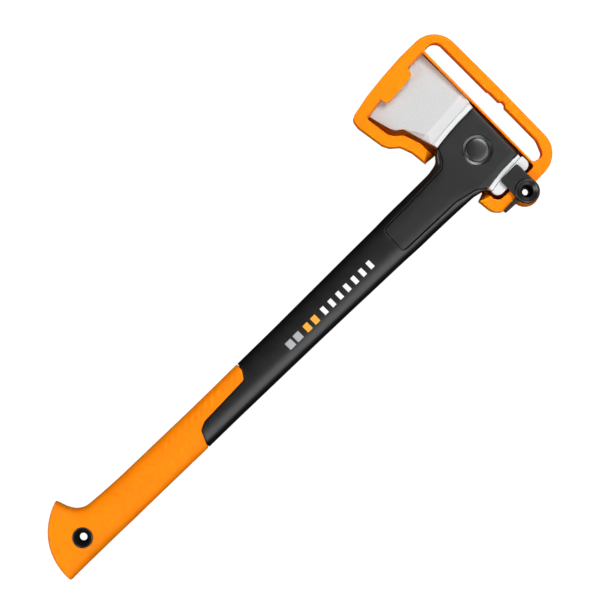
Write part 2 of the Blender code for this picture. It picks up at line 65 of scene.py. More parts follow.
# Plain printed stripes across the shaft: start of the row, pitch, width of a stripe,
# number of stripes and ink
MARK_RIGHT = 9.2
MARK_WIDTH = 8.2
MARK_ABOVE = 20.0           # the shaft is printed above this height only
PRINTED_MARKS = (
    (-149.0, 10.4, 4.6, 7, (0.72, 0.72, 0.72)),
    (-223.0, 10.4, 6.2, 2, (0.85, 0.36, 0.03)),
    (-245.5, 10.4, 7.6, 2, (0.36, 0.37, 0.38)),
)


class Tree:
    """Short names for the nodes of one material."""

    def __init__(self, material):
        self.nodes = material.node_tree.nodes
        self.links = material.node_tree.links
        self.shader = self.nodes["Principled BSDF"]
        self.place = self.nodes.new("ShaderNodeTexCoord").outputs["Object"]

    def plug(self, source, target):
        self.links.new(source, target)

    def noise(self, size, detail):
        """Noise whose features are about this many millimetres wide."""
        mapping = self.nodes.new("ShaderNodeMapping")
        mapping.inputs["Scale"].default_value = [1 / (size * MM)] * 3
        self.links.new(self.place, mapping.inputs["Vector"])
        node = self.nodes.new("ShaderNodeTexNoise")
        node.inputs["Scale"].default_value = 1.0
        node.inputs["Detail"].default_value = detail
        self.links.new(mapping.outputs["Vector"], node.inputs["Vector"])
        return node.outputs["Fac"]

    def ramp(self, value, *stops):
        """The value through colour stops of (position, colour)."""
        node = self.nodes.new("ShaderNodeValToRGB")
        elements = node.color_ramp.elements
        while len(elements) < len(stops):
            elements.new(0.5)
        for element, (position, colour) in zip(elements, stops):
            element.position = position
            element.color = (*colour, 1.0)
        self.links.new(value, node.inputs["Fac"])
        return node.outputs["Color"]

    def spread(self, value, low, high):
        """The value, mostly 0.3 to 0.7, spread from low to high."""
        node = self.nodes.new("ShaderNodeMapRange")
        limits = (("From Min", 0.3), ("From Max", 0.7), ("To Min", low), ("To Max", high))
        for name, number in limits:
            node.inputs[name].default_value = number
        self.links.new(value, node.inputs["Value"])
        return node.outputs["Result"]

    def bump(self, height, depth):
        """A bump of this depth in millimetres."""
        node = self.nodes.new("ShaderNodeBump")
        node.inputs["Strength"].default_value = 1.0
        node.inputs["Distance"].default_value = depth * MM
        self.links.new(height, node.inputs["Height"])
        return node.outputs["Normal"]

    def axes(self, slant=0.0):
        """The place in millimetres as X, Y and Z, turned by this angle about Z."""
        mapping = self.nodes.new("ShaderNodeMapping")
        mapping.inputs["Rotation"].default_value = (0, 0, slant)
        mapping.inputs["Scale"].default_value = (1 / MM, 1 / MM, 1 / MM)
        self.links.new(self.place, mapping.inputs["Vector"])
        node = self.nodes.new("ShaderNodeSeparateXYZ")
        self.links.new(mapping.outputs["Vector"], node.inputs["Vector"])
        return node.outputs

    def calc(self, operation, first, second=0.0):
        """One math step on two values, each a number or an output."""
        node = self.nodes.new("ShaderNodeMath")
        node.operation = operation
        for value, socket in zip((first, second), node.inputs):
            if isinstance(value, (int, float)):
                socket.default_value = value
            else:
                self.links.new(value, socket)
        return node.outputs["Value"]

    def stripes(self, value, start, pitch, width, count):
        """1 on each stripe of a row that runs down from start, and 0 elsewhere."""
        place = self.calc("MULTIPLY", self.calc("SUBTRACT", value, start), -1 / pitch)
        begun = self.calc("GREATER_THAN", place, 0.0)
        ended = self.calc("LESS_THAN", place, count - 1 + width / pitch)
        on_stripe = self.calc("LESS_THAN", self.calc("FRACT", place), width / pitch)
        return self.calc("MULTIPLY", self.calc("MULTIPLY", begun, ended), on_stripe)

    def between(self, value, low, high):
        """The value as a smooth step from 0 at low to 1 at high."""
        node = self.nodes.new("ShaderNodeMapRange")
        node.interpolation_type = "SMOOTHSTEP"
        node.inputs["From Min"].default_value = low
        node.inputs["From Max"].default_value = high
        self.links.new(value, node.inputs["Value"])
        return node.outputs["Result"]

    def mix(self, factor, first, second):
        """A colour output mixed with a plain colour."""
        node = self.nodes.new("ShaderNodeMix")
        node.data_type = "RGBA"
        self.links.new(factor, node.inputs[0])
        self.links.new(first, node.inputs[6])
        node.inputs[7].default_value = (*second, 1.0)
        return node.outputs[2]


def new_material(name, specular):
    made = bpy.data.materials.new(name)
    made.use_nodes = True
    tree = Tree(made)
    tree.shader.inputs["Specular IOR Level"].default_value = specular
    return made, tree


def shade(colour, factor):
    return tuple(min(1.0, c * factor) for c in colour)


def plastic(name, colour, roughness, specular, grain, grain_depth, tint=(1, 1, 1), marks=()):
    """Moulded plastic: a fine spark-eroded grain over faint mottling, and printed marks."""
    made, tree = new_material(name, specular)
    tree.shader.inputs["Specular Tint"].default_value = (*tint, 1.0)
    cloud = tree.noise(38, 3)
    paint = tree.ramp(cloud, (0.3, shade(colour, 1 - MOTTLE)), (0.7, shade(colour, 1 + MOTTLE)))
    if marks:
        axes = tree.axes()
        column = tree.stripes(axes["X"], MARK_RIGHT, MARK_WIDTH, MARK_WIDTH, 1)
        column = tree.calc("MULTIPLY", column, tree.calc("GREATER_THAN", axes["Z"], MARK_ABOVE))
        for start, pitch, width, count, ink in marks:
            row = tree.stripes(axes["Y"], start, pitch, width, count)
            paint = tree.mix(tree.calc("MULTIPLY", column, row), paint, ink)
    tree.plug(paint, tree.shader.inputs["Base Color"])
    tree.plug(tree.spread(tree.noise(9, 3), roughness - 0.03, roughness + 0.03),
              tree.shader.inputs["Roughness"])
    tree.plug(tree.bump(tree.noise(grain, 2), grain_depth), tree.shader.inputs["Normal"])
    return made


def blasted_steel_with_painted_light(name):
    """Forged steel: a speckled skin, with painted light and shade by the wrap and the facet."""
    made, tree = new_material(name, 0.5)
    speckle = tree.noise(0.9, 3)
    low, high = SKIN_GREYS
    colour = tree.ramp(speckle, (0.35, shade(WARMLESS, low)), (0.65, shade(WARMLESS, high)))
    across = tree.axes(PAINTED_BAND_SLANT)["X"]
    # painted highlight on the slope, painted shadow at the step, lighter strip up to the wrap
    for start, grey in PAINTED_LIGHT_BANDS:
        colour = tree.mix(tree.between(across, *start), colour, shade(WARMLESS, grey))
    place = tree.axes(FACET_SLANT)
    along, down = (tree.calc("MULTIPLY", tree.between(place[axis], *comes_in),
                             tree.between(place[axis], *goes_out))
                   for axis, comes_in, goes_out in FACET_SHADE)
    shadow = tree.calc("MULTIPLY", tree.calc("MULTIPLY", along, down), FACET_STRENGTH)
    colour = tree.mix(shadow, colour, shade(WARMLESS, FACET_GREY))
    tree.plug(colour, tree.shader.inputs["Base Color"])
    tree.plug(tree.spread(tree.noise(24, 2), 0.5, 0.6), tree.shader.inputs["Roughness"])
    tree.plug(tree.bump(speckle, 0.025), tree.shader.inputs["Normal"])
    return made


def let_light_in(material):
    """Lets red light bleed a few millimetres through a bright plastic into its shadows."""
    inputs = material.node_tree.nodes["Principled BSDF"].inputs
    inputs["Subsurface Weight"].default_value = LIGHT_SHARE
    inputs["Subsurface Radius"].default_value = LIGHT_COLOURS
    inputs["Subsurface Scale"].default_value = LIGHT_REACH * MM


MATERIALS = {
    "steel": blasted_steel_with_painted_light("blasted_steel_with_painted_light"),
    "composite": plastic("wrap_composite", (0.0075, 0.0075, 0.0077), 0.42, 0.4, 0.8, 0.012),
    "plug": plastic("plug_composite", (0.006, 0.006, 0.0062), 0.3, 0.85, 0.8, 0.006),
    "shaft": plastic("shaft_composite", (0.003, 0.003, 0.0032), 0.34, 0.5, 0.5, 0.006,
                     marks=PRINTED_MARKS),
    "grip": plastic("grip_rubber", (0.92, 0.225, 0.002), 0.5, 0.2, 0.6, 0.01, ORANGE_TINT),
    "sheath": plastic("sheath_plastic", (0.95, 0.235, 0.002), 0.42, 0.2, 0.7, 0.008, ORANGE_TINT),
    "latch": plastic("latch_plastic", (0.009, 0.009, 0.0095), 0.32, 0.5, 0.6, 0.008),
}

SLOT_OF = {
    "axe_head": "steel", "head_wrap": "composite", "eye_plug_upper": "composite",
    "eye_plug_lower": "composite", "handle_shaft": "shaft", "grip_sleeve": "grip",
    "shaft_stopper": "composite", "hang_bush": "composite", "sheath_frame": "sheath",
    "latch": "latch", "latch_collar": "latch",
}
for slot in ("grip", "sheath"):
    let_light_in(MATERIALS[slot])
for name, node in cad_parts.items():
    node.data.materials.clear()
    node.data.materials.append(MATERIALS[SLOT_OF[name]])

# ------------ outlines and solids
# Lengths are in millimetres until a mesh is made.

MID_Z = 17.5                # mid-plane of the axe
GAP = 0.3
FAR = 300.0
ROUND_TURNS = 96            # points round a full turn
EDGE_STEPS = 5              # steps round a rounded edge
SOFT_STEPS = 4              # steps round a softened corner of a profile


def corner_points(x, y, radius, before, after, steps):
    """One corner of an outline as (x, y, grow_x, grow_y) rows; grow is the way it moves out."""
    first = Vector((x - before[0], y - before[1]))
    second = Vector((after[0] - x, after[1] - y))
    lengths = first.length, second.length
    first.normalize()
    second.normalize()
    turn = math.atan2(first.cross(second), first.dot(second))
    out_first = Vector((first.y, -first.x))
    out_second = Vector((second.y, -second.x))
    if radius == 0:
        mitre = (out_first + out_second) / (1 + out_first.dot(out_second))
        return [(x, y, mitre.x, mitre.y)]
    room = min(0.98 * length * radius / (radius + other[2])
               for length, other in zip(lengths, (before, after)))
    reach = min(radius * math.tan(abs(turn) / 2), room)
    radius = reach / math.tan(abs(turn) / 2)
    side = math.copysign(1, turn)
    centre = Vector((x, y)) - first * reach - out_first * side * radius
    rows = []
    for k in range(steps + 1):
        angle = turn * k / steps
        out = Vector((out_first.x * math.cos(angle) - out_first.y * math.sin(angle),
                      out_first.x * math.sin(angle) + out_first.y * math.cos(angle)))
        point = centre + out * side * radius
        rows.append((point.x, point.y, out.x, out.y))
    return rows


def area(plan):
    return sum(plan[i - 1][0] * row[1] - row[0] * plan[i - 1][1] for i, row in enumerate(plan)) / 2


def outline(plan):
    """The corners (x, y, radius) as rows of an outline that runs anticlockwise."""
    plan = plan if area(plan) > 0 else plan[::-1]
    rows = []
    for i, (x, y, radius) in enumerate(plan):
        steps = 7 if radius < 4 else 12 if radius < 12 else 24
        rows += corner_points(x, y, radius, plan[i - 1], plan[(i + 1) % len(plan)], steps)
    return np.array(rows)


def round_outline(cx, cy, radius):
    angles = np.arange(ROUND_TURNS) * 2 * math.pi / ROUND_TURNS
    c, s = np.cos(angles), np.sin(angles)
    return np.stack((cx + radius * c, cy + radius * s, c, s), axis=1)


def mesh_object(name, points, faces):
    mesh = bpy.data.meshes.new(name)
    mesh.from_pydata((np.asarray(points, float) * MM).tolist(), [], faces)
    mesh.validate()
    made = bpy.data.objects.new(name, mesh)
    bpy.context.scene.collection.objects.link(made)
    return made


def stack(name, layers):
    """A solid through copies of one outline; a layer is (height, growth, outline rows)."""
    rings = []
    for height, growth, rows in layers:
        flat = rows[:, :2] + rows[:, 2:] * growth
        rings.append(np.column_stack((flat, np.full(len(flat), height))))
    count = len(rings[0])
    last = (len(rings) - 1) * count
    faces = [tuple(reversed(range(count))), tuple(range(last, last + count))]
    for r in range(len(rings) - 1):
        for i in range(count):
            j = (i + 1) % count
            faces.append((r * count + i, r * count + j, (r + 1) * count + j, (r + 1) * count + i))
    return mesh_object(name, np.concatenate(rings), faces)


def edge_arc(radius):
    """(inset, drop) along a rounded edge, from its flat face to its side."""
    angles = [math.pi / 2 * k / EDGE_STEPS for k in range(EDGE_STEPS + 1)]
    return [(radius * (1 - math.sin(a)), radius * (1 - math.cos(a))) for a in angles]


def soft_slab(name, rows, low, high, low_round, high_round):
    """An upright solid whose lower and upper edges are rounded."""
    layers = [(low + drop, -inset, rows) for inset, drop in edge_arc(low_round)]
    layers += [(high - drop, -inset, rows) for inset, drop in reversed(edge_arc(high_round))]
    return stack(name, layers)


def flare(face, way, radius):
    """(height, growth) of a cutter that leaves a rounded edge where it leaves this face."""
    last, clear = math.radians(74), 0.05
    angles = [last * k / EDGE_STEPS for k in range(EDGE_STEPS + 1)]
    rows = [(face - way * radius * (1 - math.sin(a)), radius * (1 - math.cos(a))) for a in angles]
    height, growth = rows[-1]
    growth += (way * (face - height) + clear) * math.tan(last)
    rows.append((face + way * clear, growth))
    rows.append((face + way * 4.0, growth))
    return rows


def cutter(name, low_rows, high_rows, low, high, low_round=0.0, high_round=0.0):
    """A cutter between two heights, flared where a radius says that it leaves a face there."""
    lower = flare(low, -1, low_round)[::-1] if low_round else [(low, 0.0)]
    upper = flare(high, 1, high_round) if high_round else [(high, 0.0)]
    layers = []
    for height, growth in lower + upper:
        share = min(1.0, max(0.0, (height - low) / (high - low)))
        layers.append((height, growth, low_rows + (high_rows - low_rows) * share))
    return stack(name, layers)


def well(name, rows, low, high, low_round=0.0, high_round=0.0):
    """A cutter with upright walls."""
    return cutter(name, rows, rows, low, high, low_round, high_round)


def turned(name, cx, cy, profile, closed=True):
    """A solid turned about an upright axis from (radius, height) rows down its outer side.

    A closed profile is a ring.  An open one starts and ends on the axis.
    """
    points, faces = [], []
    rim = profile if closed else profile[1:-1]
    rows = len(rim)
    for k in range(ROUND_TURNS):
        angle = 2 * math.pi * k / ROUND_TURNS
        points += [(cx + r * math.cos(angle), cy + r * math.sin(angle), z) for r, z in rim]
    for k in range(ROUND_TURNS):
        here, following = k * rows, (k + 1) % ROUND_TURNS * rows
        for i in range(rows if closed else rows - 1):
            j = (i + 1) % rows
            faces.append((here + i, here + j, following + j, following + i))
    if not closed:
        top, bottom = len(points), len(points) + 1
        points += [(cx, cy, profile[0][1]), (cx, cy, profile[-1][1])]
        for k in range(ROUND_TURNS):
            here, following = k * rows, (k + 1) % ROUND_TURNS * rows
            faces.append((top, here, following))
            faces.append((bottom, following + rows - 1, here + rows - 1))
    return mesh_object(name, points, faces)


def soften(profile, radius):
    """A profile of (x, z) rows with each corner replaced by a small arc."""
    rows = []
    for i, point in enumerate(profile):
        before, here, after = (Vector(profile[j % len(profile)]) for j in (i - 1, i, i + 1))
        reach = min(radius, 0.45 * (before - here).length, 0.45 * (after - here).length)
        start = here + (before - here).normalized() * reach
        end = here + (after - here).normalized() * reach
        for k in range(SOFT_STEPS + 1):
            t = k / SOFT_STEPS
            rows.append(tuple(start * (1 - t) ** 2 + here * 2 * t * (1 - t) + end * t * t))
    return rows


def combine(target, operation, *tools):
    for tool in tools:
        step = target.modifiers.new(operation, "BOOLEAN")
        step.object = tool
        step.operation = operation
        step.solver = "EXACT"
        bake(target)
        bpy.data.objects.remove(tool)


def bake(target):
    """Replace the object's mesh with its evaluated mesh."""
    graph = bpy.context.evaluated_depsgraph_get()
    mesh = bpy.data.meshes.new_from_object(target.evaluated_get(graph))
    target.modifiers.clear()
    target.data = mesh


def smooth(target, angle=30):
    """Shade smooth with crisp edges, and keep the flat faces flat."""
    target.data.shade_smooth()
    target.data.set_sharp_from_angle(angle=math.radians(angle))
    step = target.modifiers.new("Weighted normals", "WEIGHTED_NORMAL")
    step.keep_sharp = True
    bake(target)


def finish_piece(piece, slot, *nodes, body="sheathed_axe", finish=None):
    """Give a piece its body and the slot's material or another one, and hide the CAD nodes it
    replaces.
    """
    piece.data.materials.clear()
    piece.data.materials.append(MATERIALS[finish or slot])
    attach(piece, body)
    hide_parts(*nodes)


# ------------ sheath

SHEATH_TOP = 30.5
SHEATH_FLOOR = 2.5
LIP_UNDER = 22.8
PIVOT_X, PIVOT_Y = 62.0, 5.6
BOSS_R = 14.2               # at the back; the boss tapers towards the latch
BOSS_TOP_R = 12.8
BOSS_BORE_R = 8.5
COLLAR_R = 10.5
COLLAR_RECESS = 2.7
SHEATH_EDGE = 1.3

SHEATH_PLAN = (
    (-107.5, -60.8, 7), (-112.0, -38.0, 20), (-114.6, -13.2, 20), (-116.07, 10.0, 8),
    (-115.6, 57.1, 26), (-30.0, 57.5, 20), (60.6, 56.2, 26), (61.5, 14.0, 0),
    (60.6, 0.0, 0), (60.4, -24.2, 7), (52.8, -31.6, 13), (36.5, -33.2, 1.6),
    (-26.4, -43.9, 1.6), (-42.3, -45.6, 12), (-54.1, -49.8, 8), (-61.2, -58.0, 6),
    (-68.0, -61.4, 8), (-96.0, -65.7, 8), (-104.4, -64.6, 8),
)

# The head's space ends by the neck in two sloping faces: the line of each face at the
# floor of the sheath, and at its top
HOOK_END_LOW = ((32.6, -22.4, 1.4), (40.3, -44.0, 0))
HOOK_END_HIGH = ((40.6, -21.9, 1.2), (32.5, -44.0, 0))
LEG_END_LOW = ((-27.0, -53.0, 0), (-24.8, -31.0, 1.4))
LEG_END_HIGH = ((-23.3, -53.0, 0), (-33.8, -34.6, 2.6))

# The rest of that space, from the hook over the poll to the lip, and along the leg
HOOK_SIDE = ((49.9, 6.0, 3), (50.3, -8.0, 3), (49.8, -18.0, 6), (44.6, -22.2, 5))
LEG_SIDE = ((-42.3, -34.2, 10), (-59.9, -40.1, 6), (-66.3, -47.2, 6), (-71.6, -50.6, 6))
POCKET_START = (
    (-105.2, -55.2, 2), (-110.6, -13.0, 60), (-112.4, 13.0, 60), (-111.0, 29.5, 1.5),
    (49.8, 28.6, 2),
)

# The open mouth above the lip, with a locating tab on the left: under the lip and at the top
TAB = ((-93.4, -30.0, 4), (-92.6, -23.7, 5), (-95.0, 6.2, 5))
MOUTH_START_LOW = ((-95.8, -54.2, 2.4), (-98.8, -31.4, 1.6), *TAB,
                   (-102.4, 8.8, 1.6), (-103.0, 29.2, 1.4), (49.8, 28.0, 3))
MOUTH_START_HIGH = ((-97.9, -54.2, 2.4), (-101.0, -31.4, 1.6), *TAB,
                    (-104.4, 8.8, 1.6), (-105.0, 29.2, 1.4), (49.8, 28.0, 3))

# Gap in the floor under the neck
NECK_GAP = (
    (-27.0, -53.0, 0), (-24.8, -31.0, 1.5), (33.2, -24.1, 1.5), (40.3, -44.0, 0),
    (40.3, -60.0, 0), (-27.0, -60.0, 0),
)

SLOT_PLAN = (
    (-104.4, 31.5, 1.4), (-104.6, 47.3, 9.5), (-33.2, 47.3, 1.4), (-31.6, 48.3, 1.4),
    (-18.2, 48.3, 1.4), (-16.0, 50.6, 1.8), (-12.2, 50.6, 1.8), (-9.9, 48.2, 1.4),
    (34.0, 47.9, 16), (49.6, 41.4, 8), (46.2, 29.9, 3),
)


def between(low, high, height):
    """The corners of a sloping face at this height."""
    share = (height - SHEATH_FLOOR) / (SHEATH_TOP - SHEATH_FLOOR)
    return tuple(tuple(a + (b - a) * share for a, b in zip(*ends)) for ends in zip(low, high))


def head_space(start, height):
    return outline(start + HOOK_SIDE + between(HOOK_END_LOW, HOOK_END_HIGH, height)
                   + between(LEG_END_LOW, LEG_END_HIGH, height) + LEG_SIDE)


def tapered_boss():
    rows = round_outline(PIVOT_X, PIVOT_Y, BOSS_R)
    layers = [(drop, -inset, rows) for inset, drop in edge_arc(0.8)]
    layers += [(SHEATH_TOP - drop, BOSS_TOP_R - BOSS_R - inset, rows)
               for inset, drop in reversed(edge_arc(SHEATH_EDGE))]
    return stack("boss", layers)


def make_sheath():
    sheath = soft_slab("carry_sheath", outline(SHEATH_PLAN), 0, SHEATH_TOP, 0.8, SHEATH_EDGE)
    combine(sheath, "UNION", tapered_boss())
    pocket = cutter("pocket", head_space(POCKET_START, SHEATH_FLOOR),
                    head_space(POCKET_START, LIP_UNDER), SHEATH_FLOOR, LIP_UNDER)
    mouth = cutter("mouth", head_space(MOUTH_START_LOW, LIP_UNDER - 0.5),
                   head_space(MOUTH_START_HIGH, SHEATH_TOP), LIP_UNDER - 0.5, SHEATH_TOP, 0, 0.7)
    wells = (
        well("gap", outline(NECK_GAP), 0, SHEATH_FLOOR + 0.5, 0.8, 0),
        well("slot", outline(SLOT_PLAN), 0, SHEATH_TOP, 0.8, 0.9),
        well("bore", round_outline(PIVOT_X, PIVOT_Y, BOSS_BORE_R), 0.5, SHEATH_TOP, 0, 0.5),
        well("recess", round_outline(PIVOT_X, PIVOT_Y, COLLAR_R + GAP), 0, COLLAR_RECESS, 0.4, 0),
    )
    combine(sheath, "DIFFERENCE", pocket, mouth, *wells)
    smooth(sheath)
    finish_piece(sheath, "sheath", "sheath_frame")


make_sheath()

# ------------ handle surface

# Stations of the handle from the head to the butt.  Each has the two ends of a line across
# the handle, the half thickness, the exponent of its rounded section (2 is an ellipse and
# 10 nearly a rectangle), and how far the line bows towards the butt.
STATIONS = (
    ((-30.4, 26.5), (29.2, 25.5), 12.4, 22, 0),
    ((-31.7, 25.2), (30.2, 24.2), 13.6, 22, 0),
    ((-31.6, 20.0), (30.3, 19.0), 13.8, 22, 0),
    ((-31.3, 3.0), (30.8, 3.0), 13.8, 22, 0),
    ((-30.2, -12.0), (32.1, -10.0), 13.8, 22, 0),
    ((-28.4, -25.9), (33.6, -18.7), 13.8, 18, 0),
    ((-24.6, -31.8), (31.9, -26.4), 13.7, 9, 0),
    ((-19.6, -37.0), (29.9, -35.7), 13.4, 6, 0),
    ((-17.8, -43.0), (29.6, -42.0), 13.2, 5, 0),
    ((-16.8, -51.0), (29.2, -50.0), 13.0, 3.9, 0),
    ((-16.9, -80.4), (28.1, -80.4), 12.6, 3.1, 0),
    ((-17.2, -105.5), (27.5, -105.5), 12.3, 2.95, 0),
    ((-16.9, -124.0), (26.6, -124.0), 12.2, 2.85, 0),
    ((-17.1, -160.0), (25.4, -160.0), 12.1, 2.8, 0),
    ((-17.2, -200.0), (24.1, -200.0), 12.0, 2.8, 0),
    ((-17.3, -255.0), (22.6, -255.0), 12.0, 2.7, 0),
    ((-17.9, -310.0), (21.3, -310.0), 12.1, 2.6, 0),
    ((-18.3, -350.0), (20.4, -350.0), 12.3, 2.6, 0),
    ((-18.9, -386.0), (19.8, -386.0), 12.6, 2.6, 0),
    ((-19.8, -420.0), (19.1, -420.0), 12.9, 2.6, 0),
    ((-20.4, -446.7), (18.6, -446.7), 13.2, 2.6, 0),
    ((-20.9, -465.0), (18.2, -466.0), 13.8, 2.6, 0.2),
    ((-21.7, -481.0), (17.9, -486.0), 14.6, 2.6, 0.6),
    ((-22.7, -497.0), (17.4, -505.0), 15.5, 2.7, 1.4),
    ((-24.1, -509.5), (17.1, -521.0), 16.4, 2.8, 2.8),
    ((-28.5, -517.6), (16.9, -536.0), 17.0, 3.0, 5.0),
    ((-37.1, -523.3), (16.6, -552.0), 17.3, 3.4, 9.0),
    ((-45.9, -526.6), (16.6, -566.6), 17.5, 4.0, 12.4),
    ((-47.8, -527.6), (16.5, -569.8), 16.6, 4.6, 13.0),
    ((-47.9, -528.4), (15.9, -570.8), 14.6, 5.0, 13.2),
)
RING = 160                  # points round one section
CORNER_WEIGHT = 8.0         # how much closer they are at the corners, in mm for each radian
STATION_ROWS = np.array([(*left, *right, *rest) for left, right, *rest in STATIONS], float)
STATION_DEPTHS = -(STATION_ROWS[:, 1] + STATION_ROWS[:, 3]) / 2


def smooth_through(knots, rows, wanted):
    """Values between the rows, on curves that never overshoot them."""
    gaps = np.diff(knots)[:, None]
    rates = np.diff(rows, axis=0) / gaps
    slopes = np.zeros_like(rows)
    slopes[0], slopes[-1] = rates[0], rates[-1]
    same = rates[:-1] * rates[1:] > 0
    near, far = 2 * gaps[1:] + gaps[:-1], gaps[1:] + 2 * gaps[:-1]
    before, after = np.where(same, rates[:-1], 1.0), np.where(same, rates[1:], 1.0)
    slopes[1:-1] = np.where(same, (near + far) / (near / before + far / after), 0.0)
    i = np.clip(np.searchsorted(knots, wanted, side="right") - 1, 0, len(knots) - 2)
    gap = gaps[i]
    t = ((wanted - knots[i]) / gap[:, 0])[:, None]
    return (rows[i] * (1 + 2 * t) * (1 - t) ** 2 + slopes[i] * gap * t * (1 - t) ** 2
            + rows[i + 1] * t * t * (3 - 2 * t) + slopes[i + 1] * gap * t * t * (t - 1))


def section(station, inset):
    """Points round one section, closer together at its corners."""
    left, right = station[:2], station[2:4]
    half, power, bow = station[4:]
    span = np.linalg.norm(right - left)
    along = (right - left) / span
    down = np.array((along[1], -along[0]))
    half_span, half_thick = span / 2 - inset, half - inset

    def shape(angle):
        c, s = np.cos(angle), np.sin(angle)
        reach = (np.abs(c) ** power + np.abs(s) ** power) ** (-1 / power)
        return np.stack((c * reach, s * reach), axis=1)

    dense = np.linspace(0, 2 * math.pi, 1441)
    steps = np.diff(shape(dense) * (half_span, half_thick), axis=0)
    turns = np.unwrap(np.arctan2(steps[:, 1], steps[:, 0]))
    weight = np.linalg.norm(steps, axis=1) + CORNER_WEIGHT * np.abs(np.gradient(turns))
    total = np.concatenate(([0.0], np.cumsum(weight)))
    angles = np.interp((np.arange(RING) + 0.5) / RING * total[-1], total, dense)
    across, up = shape(angles).T
    middle = (left + right) / 2
    sag = bow * (1 - across ** 2)
    flat = middle + np.outer(across * half_span, along) + np.outer(sag, down)
    return np.column_stack((flat, MID_Z + up * half_thick))


def handle_grid(depths, inset=0.0):
    """The handle's surface at these depths below the head: (place, normal) rows and faces."""
    stations = smooth_through(STATION_DEPTHS, STATION_ROWS, np.asarray(depths, float))
    rings = np.array([section(station, inset) for station in stations])
    down = np.gradient(rings, axis=0)
    around = np.roll(rings, -1, axis=1) - np.roll(rings, 1, axis=1)
    normals = np.cross(around, down)
    normals /= np.linalg.norm(normals, axis=2)[..., None]
    outward = ((rings - rings.mean(axis=1, keepdims=True)) * normals).sum() > 0
    normals = normals if outward else -normals
    faces = []
    for r in range(len(rings) - 1):
        for k in range(RING):
            j = (k + 1) % RING
            faces.append((r * RING + k, r * RING + j, (r + 1) * RING + j, (r + 1) * RING + k))
    return np.concatenate((rings, normals), axis=2).reshape(-1, 6), faces


def end_caps(count, start, end):
    """Strips from face to face that close the first or the last ring of the grid."""
    faces = []
    last = (count - 1) * RING
    for k in range(RING // 2 - 1):
        a, b = k, k + 1
        c, d = RING - 2 - k, RING - 1 - k
        if start:
            faces.append((d, c, b, a))
        if end:
            faces.append((last + a, last + b, last + c, last + d))
    return faces


def depth_inside(rows, places):
    """How far each place is inside an outline; negative outside it."""
    start = rows[:, :2]
    end = np.roll(start, -1, axis=0)
    edge = end - start
    offset = places[:, None, :2] - start
    share = np.clip((offset * edge).sum(axis=2) / (edge ** 2).sum(axis=1), 0, 1)
    distance = np.linalg.norm(offset - share[..., None] * edge, axis=2).min(axis=1)
    x, y = places[:, :1], places[:, 1:2]
    spans = (start[:, 1] > y) != (end[:, 1] > y)
    rise = np.where(edge[:, 1] == 0, 1.0, edge[:, 1])
    crossing = start[:, 0] + edge[:, 0] * (y - start[:, 1]) / rise
    inside = (spans & (x < crossing)).sum(axis=1) % 2 == 1
    return np.where(inside, distance, -distance)


SNAP = 0.03                 # a place this close to a cutting line is moved onto it


def split(table, faces, column, level):
    """Cut the faces along the line where a column of the table has this value."""
    near = np.abs(table[:, column] - level) < SNAP
    table[near, column] = level
    sizes = np.array([len(face) for face in faces])
    starts = np.concatenate(([0], np.cumsum(sizes)[:-1]))
    values = table[np.concatenate([np.array(face) for face in faces]), column]
    lowest, highest = np.minimum.reduceat(values, starts), np.maximum.reduceat(values, starts)
    crossed = (lowest < level) & (highest > level)
    extra, made, kept = [], {}, []

    def crossing(a, b):
        key = (min(a, b), max(a, b))
        if key not in made:
            va, vb = table[a, column], table[b, column]
            row = table[a] + (table[b] - table[a]) * (level - va) / (vb - va)
            row[column] = level
            made[key] = len(table) + len(extra)
            extra.append(row)
        return made[key]

    for face, cut in zip(faces, crossed):
        if not cut:
            kept.append(face)
            continue
        above, below = [], []
        for i, a in enumerate(face):
            b = face[(i + 1) % len(face)]
            va, vb = table[a, column] - level, table[b, column] - level
            if va >= 0:
                above.append(a)
            if va <= 0:
                below.append(a)
            if va * vb < 0:
                point = crossing(a, b)
                above.append(point)
                below.append(point)
        kept += [tuple(part) for part in (above, below) if len(part) > 2]
    return (np.vstack([table, *extra]) if extra else table), kept


def keep_above(table, faces, column):
    """The faces where a column of the table is above 0."""
    return [face for face in faces if table[list(face), column].mean() > 0]


def compact(name, places, faces):
    """A mesh of these faces only, without the places that none of them uses."""
    used = sorted({i for face in faces for i in face})
    order = {old: new for new, old in enumerate(used)}
    return mesh_object(name, places[used], [tuple(order[i] for i in face) for face in faces])


def lip(values, radius):
    """How far a rounded lip sinks at these distances from its edge."""
    reach = np.clip(radius - values, 0, radius)
    return radius - np.sqrt(radius ** 2 - reach ** 2)


def lip_levels(radius):
    return [radius * (1 - math.cos(math.pi / 2 * k / 4)) for k in range(5)]


def cut_lips(table, faces, levels):
    """Cut the faces along these levels of the first two columns after the normal."""
    for level in levels:
        for column in (BORDER, HOLE):
            table, faces = split(table, faces, column, level)
    return table, faces


def smoothstep(low, high, values):
    share = np.clip((values - low) / (high - low), 0, 1)
    return share * share * (3 - 2 * share)


def shell(target, thickness):
    step = target.modifiers.new("Wall", "SOLIDIFY")
    step.thickness = thickness * MM
    step.offset = -1.0
    step.use_even_offset = False
    bake(target)


# ------------ handle pieces

WRAP_PLAN = (
    (-FAR, 60, 0), (-FAR, -23.8, 0), (-28.9, -24.6, 0), (-16.6, -29.8, 5), (-10.2, -37.6, 8),
    (-8.7, -117.6, 3), (18.4, -119.4, 3.5), (19.9, -72.0, 4), (20.3, -50.0, 14),
    (25.6, -27.6, 9), (34.0, -18.2, 0), (FAR, -17.4, 0), (FAR, 60, 0),
)
GRIP_PLAN = (
    (-60, -309.5, 0), (-10.5, -310.6, 3), (-2.4, -316.0, 4), (-0.9, -371.0, 6),
    (3.0, -379.6, 5), (22.0, -387.4, 0), (60, -398.0, 0), (60, -640, 0), (-90, -640, 0),
)
HANG_X, HANG_Y = -4.8, -533.0
HANG_R = 9.8
PLUG_R = 14.5
PLUG_GAP = 0.25
HANG_GAP = 0.15
SEAM = 0.95                 # dark gap along a seam
SEAM_WALL = 0.08            # width of the seam's steep side
WRAP_LIP = 0.55
SHAFT_LIP = 0.5
GRIP_LIP = 0.9
WRAP_WALL = 2.0
